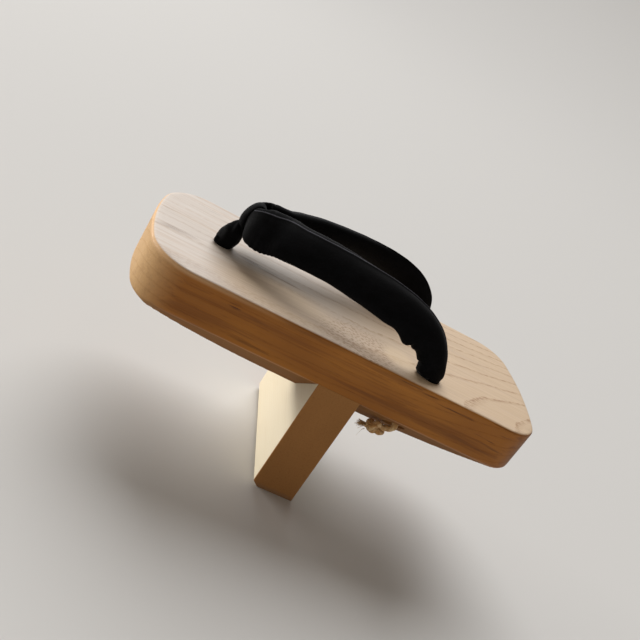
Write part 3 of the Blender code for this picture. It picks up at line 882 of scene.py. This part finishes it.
def deck_colour(wood, marks):
    """Whitish at the toe and warmer at the heel, with rings, streaks, drawn lines and a painted warm shade
    beside the strap.
    """
    x, y = marks.x, marks.y
    toward_heel = wood.step(x * -1.0, -0.055, 0.045)
    # Painted warm shade: a tan patch on the near deck, where the strap's shadow falls.
    painted_warm_shade = round_spot(wood, x, y, (0.052, 0.032), 0.050, 1.7)
    ringed = marks.late * (0.10 + marks.dash * 0.65) * (0.35 + toward_heel * 0.65)
    pencilled = marks.pencil * marks.band * (0.12 + wood.step(x, 0.020, 0.090) * 0.45)
    drawn = along_line(wood, x, y, (0.121, 0.0118), (0.098, 0.0094), 0.0032)
    drawn = drawn + along_line(wood, x, y, (0.080, 0.0030), (0.040, 0.0085), 0.0030)
    return wood.layered(
        srgb(206, 198, 191),
        (marks.cloud, (197, 183, 168)),
        (toward_heel * 0.90, (205, 179, 147)),
        (painted_warm_shade * 0.45, (216, 184, 140)),
        (ringed, (152, 116, 84)),
        (wood.step(marks.streak, 0.50, 0.70) * 0.50, (194, 171, 149)),
        (pencilled, (122, 102, 88)),
        (drawn * wood.step(marks.fibre, 0.40, 0.58) * 0.75, (112, 92, 78)),
    )


def mottled(wood, marks, deck):
    """The deck with the figure on its near side, ahead of the strap's foot: specks round a pale eye."""
    close = wood.node("Mapping", Vector=marks.place, Scale=(420.0, 900.0, 420.0))
    speck = wood.node("TexVoronoi", {"feature": "F1"}, Vector=close, Scale=1.0)
    specks = (1 - wood.step(speck, 0.24, 0.52)) * wood.step(marks.cloud, 0.25, 0.50)
    eye = round_spot(wood, marks.x, marks.y, (-0.024, 0.031), 0.014, 1.0)
    figure = round_spot(wood, marks.x, marks.y, (0.000, 0.036), 0.034, 1.5) * (1 - eye)
    return wood.layered(
        deck,
        (figure * specks * 0.85, (132, 100, 74)),
        (figure * 0.40, (196, 168, 138)),
        (eye * 0.55, (226, 200, 164)),
    )


def knot_scar(wood, marks):
    """A small dark scar on the near side, below the deck's edge and longer than it is high."""
    from_x, from_z = marks.x - 0.0724, marks.z - (TOP_Z - 0.0060)
    far = (from_x * from_x * 0.16 + from_z * from_z) ** 0.5
    shaded_near_side = wood.step(marks.y, 0.04, 0.05) * wood.step(marks.fibre, 0.42, 0.56)
    return (1 - wood.step(far, 0.0006, 0.0022)) * shaded_near_side


def side_colour(wood, marks):
    """Warm brown near side and paler far side, amber toe end, and a dull brown underside; the near side's
    brown is painted shade.
    """
    x, y, z, late = marks.x, marks.y, marks.z, marks.late
    patchy = wood.step(marks.patches, 0.38, 0.66)
    streaky = wood.step(marks.streak, 0.48, 0.66)
    # Painted shade: the near side is a darker, more orange copy of the wood, and the far side is the lit
    # copy.
    shaded_near_side = wood.layered(
        srgb(160, 99, 33),
        (patchy, (184, 119, 44)),
        (late * (0.12 + marks.dash * 0.25), (124, 70, 20)),
        (streaky * 0.55, (118, 66, 20)),
        (marks.pencil * (0.25 + marks.band * 0.45), (86, 48, 22)),
    )
    lit_far_side = wood.layered(
        srgb(178, 134, 88),
        (patchy, (196, 154, 106)),
        (streaky * 0.35, (150, 108, 68)),
        (marks.pencil * (0.15 + marks.band * 0.35), (112, 76, 48)),
    )
    end = wood.layered(
        srgb(194, 156, 106),
        (late * 0.25, (170, 130, 80)),
        (wood.step(marks.streak, 0.50, 0.70) * 0.30, (170, 130, 82)),
    )
    at_toe = wood.step(x, 0.098, 0.1245)
    at_heel = wood.step(x * -1.0, 0.100, 0.116)
    low = TOP_Z - SIDE_HEIGHT
    below = (1 - wood.step(z, low - 0.0040, low - 0.0006)) * (1 - at_toe) * (1 - at_heel)
    # A painted highlight: a paler band just under the sides' top edge toward the toe, where the rounded
    # edge faces up to the light.
    painted_edge_highlight = wood.step(z, TOP_Z - 0.0036, TOP_Z - 0.0012) * wood.step(x, 0.030, 0.100)
    side = wood.layered(
        wood.mixed(at_toe, wood.mixed(wood.step(y, -0.048, 0.036), lit_far_side, shaded_near_side), end),
        # Painted shade: a darker brown at the heel end of the near side.
        (at_heel * wood.step(y, -0.02, 0.04) * 0.80, (106, 62, 28)),
        (knot_scar(wood, marks) * 0.85, (58, 30, 22)),
        (below * 0.7, (124, 86, 44)),
        (painted_edge_highlight * 0.70, (214, 172, 124)),
    )
    return side, below


def figured_wood():
    """The deck's colour on top and the sides' below it, with fibre over both and satin ridges."""
    wood = Finish("figured_wood", Specular_IOR_Level=0.25)
    marks = wood_marks(wood)
    deck = mottled(wood, marks, deck_colour(wood, marks))
    side, below = side_colour(wood, marks)
    colour = wood.mixed(wood.step(marks.z, TOP_Z - 0.0007, TOP_Z - 0.0001), side, deck)
    fibrous = wood.step(marks.fibre, 0.30, 0.72) * 0.16
    wood.into("Base Color", wood.layered(colour, (fibrous, (124, 92, 66))))
    wood.into("Roughness", 0.46 + marks.late * 0.10 + marks.fibre * 0.12 + below * 0.40)
    wood.bump(marks.late * 0.5 + marks.fibre * 0.5 + marks.pencil * -0.6, 0.00014, 0.6)
    return wood.material


platform_finish = figured_wood()
print("made", platform_finish.name)

# %% [markdown]
# ## Plain wood
#
# The tooth is another board, cream and quiet. Its grain runs across the shoe, so its wide
# faces show long fibre and its two ends show end grain, which is darker and dull. The near
# end is painted darker than the far one, as painted shade.

# %% The tooth's finish
def plain_wood():
    """Cream long grain across the shoe, and a matte brown end grain with faint rings, painted darker at the
    near end as painted shade.
    """
    wood = Finish("plain_wood", Specular_IOR_Level=0.3)
    place = wood.node("TexCoord", output="Object")
    x, y, z = wood.split(place)
    late = late_wood(wood, ring_field(wood, place, 0.0, 0.30, 0.0, 0.0024))
    fibre = wood.grain(place, (700.0, 20.0, 700.0), 4.0, 0.6)
    pores = wood.grain(place, (1300.0, 1300.0, 1300.0), 2.0, 0.7)
    broad = wood.grain(place, (60.0, 12.0, 34.0), 2.0)
    face = wood.layered(
        srgb(223, 214, 192),
        (broad, (210, 197, 168)),
        (late * 0.16, (206, 180, 138)),
        (wood.step(fibre, 0.5, 0.75) * 0.14, (196, 168, 124)),
    )
    grain_end = wood.layered(
        srgb(170, 119, 66),
        (broad, (155, 107, 58)),
        # Painted shade: the near end keeps the darker brown, and the far end is painted paler.
        (1 - wood.step(y, -0.02, 0.02), (190, 148, 100)),
        (wood.step(pores, 0.50, 0.72) * 0.22, (104, 70, 38)),
    )
    at_end = wood.step(wood.maths("ABSOLUTE", y), HALF_WIDTH - 0.0009, HALF_WIDTH - 0.0003)
    worn = 1 - wood.step(z + (broad - 0.5) * 0.006, 0.0004, 0.0042)
    colour = wood.mixed(at_end, face, grain_end)
    wood.into("Base Color", wood.layered(colour, (worn * 0.45, (112, 96, 80))))
    wood.into("Roughness", 0.55 + at_end * 0.2 + pores * 0.1)
    wood.bump(fibre * 0.4 + late * 0.3 + pores * at_end * 0.6, 0.00010, 0.6)
    return wood.material


tooth_finish = plain_wood()
print("made", tooth_finish.name)

# %% [markdown]
# ## Black velvet
#
# Velvet is nearly black where the pile faces the eye, and silvery where it is seen edge on:
# the shader's sheen does that. The seam's ridge gets a painted highlight, a lighter line
# along it, and a fine bump breaks up the surface.

# %% The velvet finish
def black_velvet():
    """Black pile with sheen and a short uneven nap."""
    velvet = Finish("black_velvet", Sheen_Weight=0.06, Sheen_Roughness=0.35, Specular_IOR_Level=0.06,
                    Sheen_Tint=(0.80, 0.82, 0.88, 1.0))
    place = velvet.node("TexCoord", output="Object")
    nap = velvet.grain(place, (2600.0, 2600.0, 2600.0), 2.0, 0.7)
    brushed = velvet.grain(place, (120.0, 220.0, 220.0), 3.0, 0.6)
    velvet.into("Base Color", velvet.layered(
        srgb(7, 7, 8),
        (velvet.step(brushed, 0.35, 0.70), (13, 13, 15)),
        (velvet.step(nap, 0.50, 0.75) * 0.35, (24, 24, 27)),
    ))
    velvet.into("Roughness", 0.72 + brushed * 0.2)
    velvet.bump(nap * 0.6 + brushed * 0.8, 0.00022, 0.8)
    return velvet


def strap_velvet():
    """The same velvet, with a painted highlight along the seam's ridge, found by its place round the
    strap's section.
    """
    velvet = black_velvet()
    velvet.material.name = "black_velvet_strap"
    round_it = velvet.split(velvet.node("TexCoord", output="UV"))[1]
    off_seam = velvet.maths("MINIMUM", round_it, 1 - round_it)
    # A painted highlight: a lighter line along the seam's ridge.
    ridge = 1 - velvet.step(off_seam, 0.004, 0.018)
    plain = Wire(velvet, velvet.shader.inputs["Base Color"].links[0].from_socket)
    velvet.into("Base Color", velvet.layered(plain, (ridge * 0.8, (92, 92, 99))))
    return velvet.material


velvet_finish = black_velvet().material
strap_finish = strap_velvet()
print("made", velvet_finish.name, "and", strap_finish.name)

# %% [markdown]
# ## Bast cord
#
# The cords are twisted bast: straw-coloured, with darker flecks and paler patches.

# %% The cord finish
def bast_cord():
    """Straw-coloured fibre with darker flecks and paler, dusty patches."""
    cord = Finish("hemp_cord", Specular_IOR_Level=0.2, Sheen_Weight=0.2)
    place = cord.node("TexCoord", output="Object")
    fine = cord.grain(place, (1500.0, 1500.0, 1500.0), 3.0, 0.65)
    broad = cord.grain(place, (260.0, 260.0, 260.0), 2.0)
    cord.into("Base Color", cord.layered(
        srgb(188, 140, 84),
        (cord.step(broad, 0.35, 0.65), (224, 192, 144)),
        (cord.step(fine, 0.48, 0.70) * 0.55, (122, 82, 44)),
    ))
    cord.into("Roughness", 0.80 + fine * 0.15)
    cord.bump(fine, 0.00018, 0.8)
    return cord.material


cord_finish = bast_cord()
print("made", cord_finish.name)

# %% [markdown]
# ## Dress the frame
#
# Each piece gets its finish, rides on the one body that a shoe without joints has, and
# stands in for the CAD nodes that it covers.

# %% Materials, bodies and replaced nodes
def dress(piece, finish, slot_name, *nodes):
    """Gives a piece its finish and its body, and hides the CAD nodes that it stands for. Its slot name is
    not used.
    """
    piece.data.materials.clear()
    piece.data.materials.append(finish)
    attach(piece, "root")
    if nodes:
        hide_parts(*nodes)


dress(platform, platform_finish, "figured_wood", "platform")
dress(tooth, tooth_finish, "plain_wood", "tooth")
dress(strap, strap_finish, "black_velvet", "strap")
dress(thong_band, velvet_finish, "black_velvet", "toe_thong")
dress(thong_stem, velvet_finish, "black_velvet")
for node, piece in cords.items():
    dress(piece, cord_finish, "hemp_cord", node)
print("dressed:", len(cords) + 5, "pieces")

# %% [markdown]
# ## Floor, light and camera
#
# The sandal stands on a plain pale floor. A wide, soft light comes down from the far side, so
# the deck is bright and the near side in shade, as in the photograph. A low one ahead of the
# toe lights the front of the tooth. The camera is rolled, to keep the photograph's angle.

# %% A plain pale floor that rises a little, far behind the sandal
def floor_grid(flat=3.0, reach=30.0, rise=8.0, columns=96):
    """Rings round the middle: flat to the first radius, then up as the square of the way out."""
    turn = np.linspace(0, 2 * np.pi, columns, endpoint=False)
    out = np.linspace(0, 1, 24)
    radius = np.concatenate([[0.0, 0.5 * flat], flat + (reach - flat) * out])
    height = np.concatenate([[0.0, 0.0], rise * out**2])
    x, y = np.cos(turn) * radius[:, None], np.sin(turn) * radius[:, None]
    return np.stack([x, y, np.broadcast_to(height[:, None], x.shape)], axis=-1)


floor = surface("floor", floor_grid())
floor_finish = Finish("pale_floor", Base_Color=srgb(200, 199, 197), Roughness=0.9)
floor.data.materials.append(floor_finish.material)


# %% Soft studio light
def area_light(name, place, aim, size, power, colour):
    """A rectangular lamp, size across by size up, turned to face its aim."""
    lamp = bpy.data.lights.new(name, "AREA")
    lamp.shape = "RECTANGLE"
    lamp.size, lamp.size_y = size
    lamp.energy = power
    lamp.color = colour
    stand = bpy.data.objects.new(name, lamp)
    direction = Vector(aim) - Vector(place)
    stand.matrix_world = Matrix.Translation(place) @ direction.to_track_quat("-Z", "Y").to_matrix().to_4x4()
    bpy.context.collection.objects.link(stand)


area_light("key_light", (2.6, -1.40, 0.34), (0, 0, 0.07), (2.0, 0.6), 82.0, (1.0, 0.98, 0.95))
sky = bpy.data.lights.new("sky_light", "SUN")
sky.energy = 3.4
sky.angle = np.radians(50)
sky_stand = bpy.data.objects.new("sky_light", sky)
sky_stand.matrix_world = Vector((-0.05, 1.0, -1.0)).to_track_quat("-Z", "Y").to_matrix().to_4x4()
bpy.context.collection.objects.link(sky_stand)
world = bpy.data.worlds.new("studio")
world.use_nodes = True
background = world.node_tree.nodes["Background"]
background.inputs["Color"].default_value = (1.0, 0.86, 0.71, 1.0)
background.inputs["Strength"].default_value = 0.18
bpy.context.scene.world = world
print("lights: key, sky and a dim studio")

# %% The photograph's camera
CAMERA_PLACE = Vector((0.1454, 0.4385, 0.2809))
CAMERA_AIM = Vector((0.0167, 0.0, 0.0865))
CAMERA_ROLL = np.radians(33.18)
LENS = 48.70
lens = bpy.data.cameras.new("photo_camera")
lens.lens = LENS
lens.sensor_width = 36.0
lens.clip_start = 0.01
camera = bpy.data.objects.new("photo_camera", lens)
turned = (CAMERA_AIM - CAMERA_PLACE).to_track_quat("-Z", "Y").to_matrix().to_4x4()
camera.matrix_world = Matrix.Translation(CAMERA_PLACE) @ turned @ Matrix.Rotation(CAMERA_ROLL, 4, "Z")
bpy.context.collection.objects.link(camera)
bpy.context.scene.camera = camera
bpy.context.scene.view_settings.view_transform = "Standard"
print("camera at", [round(c, 3) for c in CAMERA_PLACE])
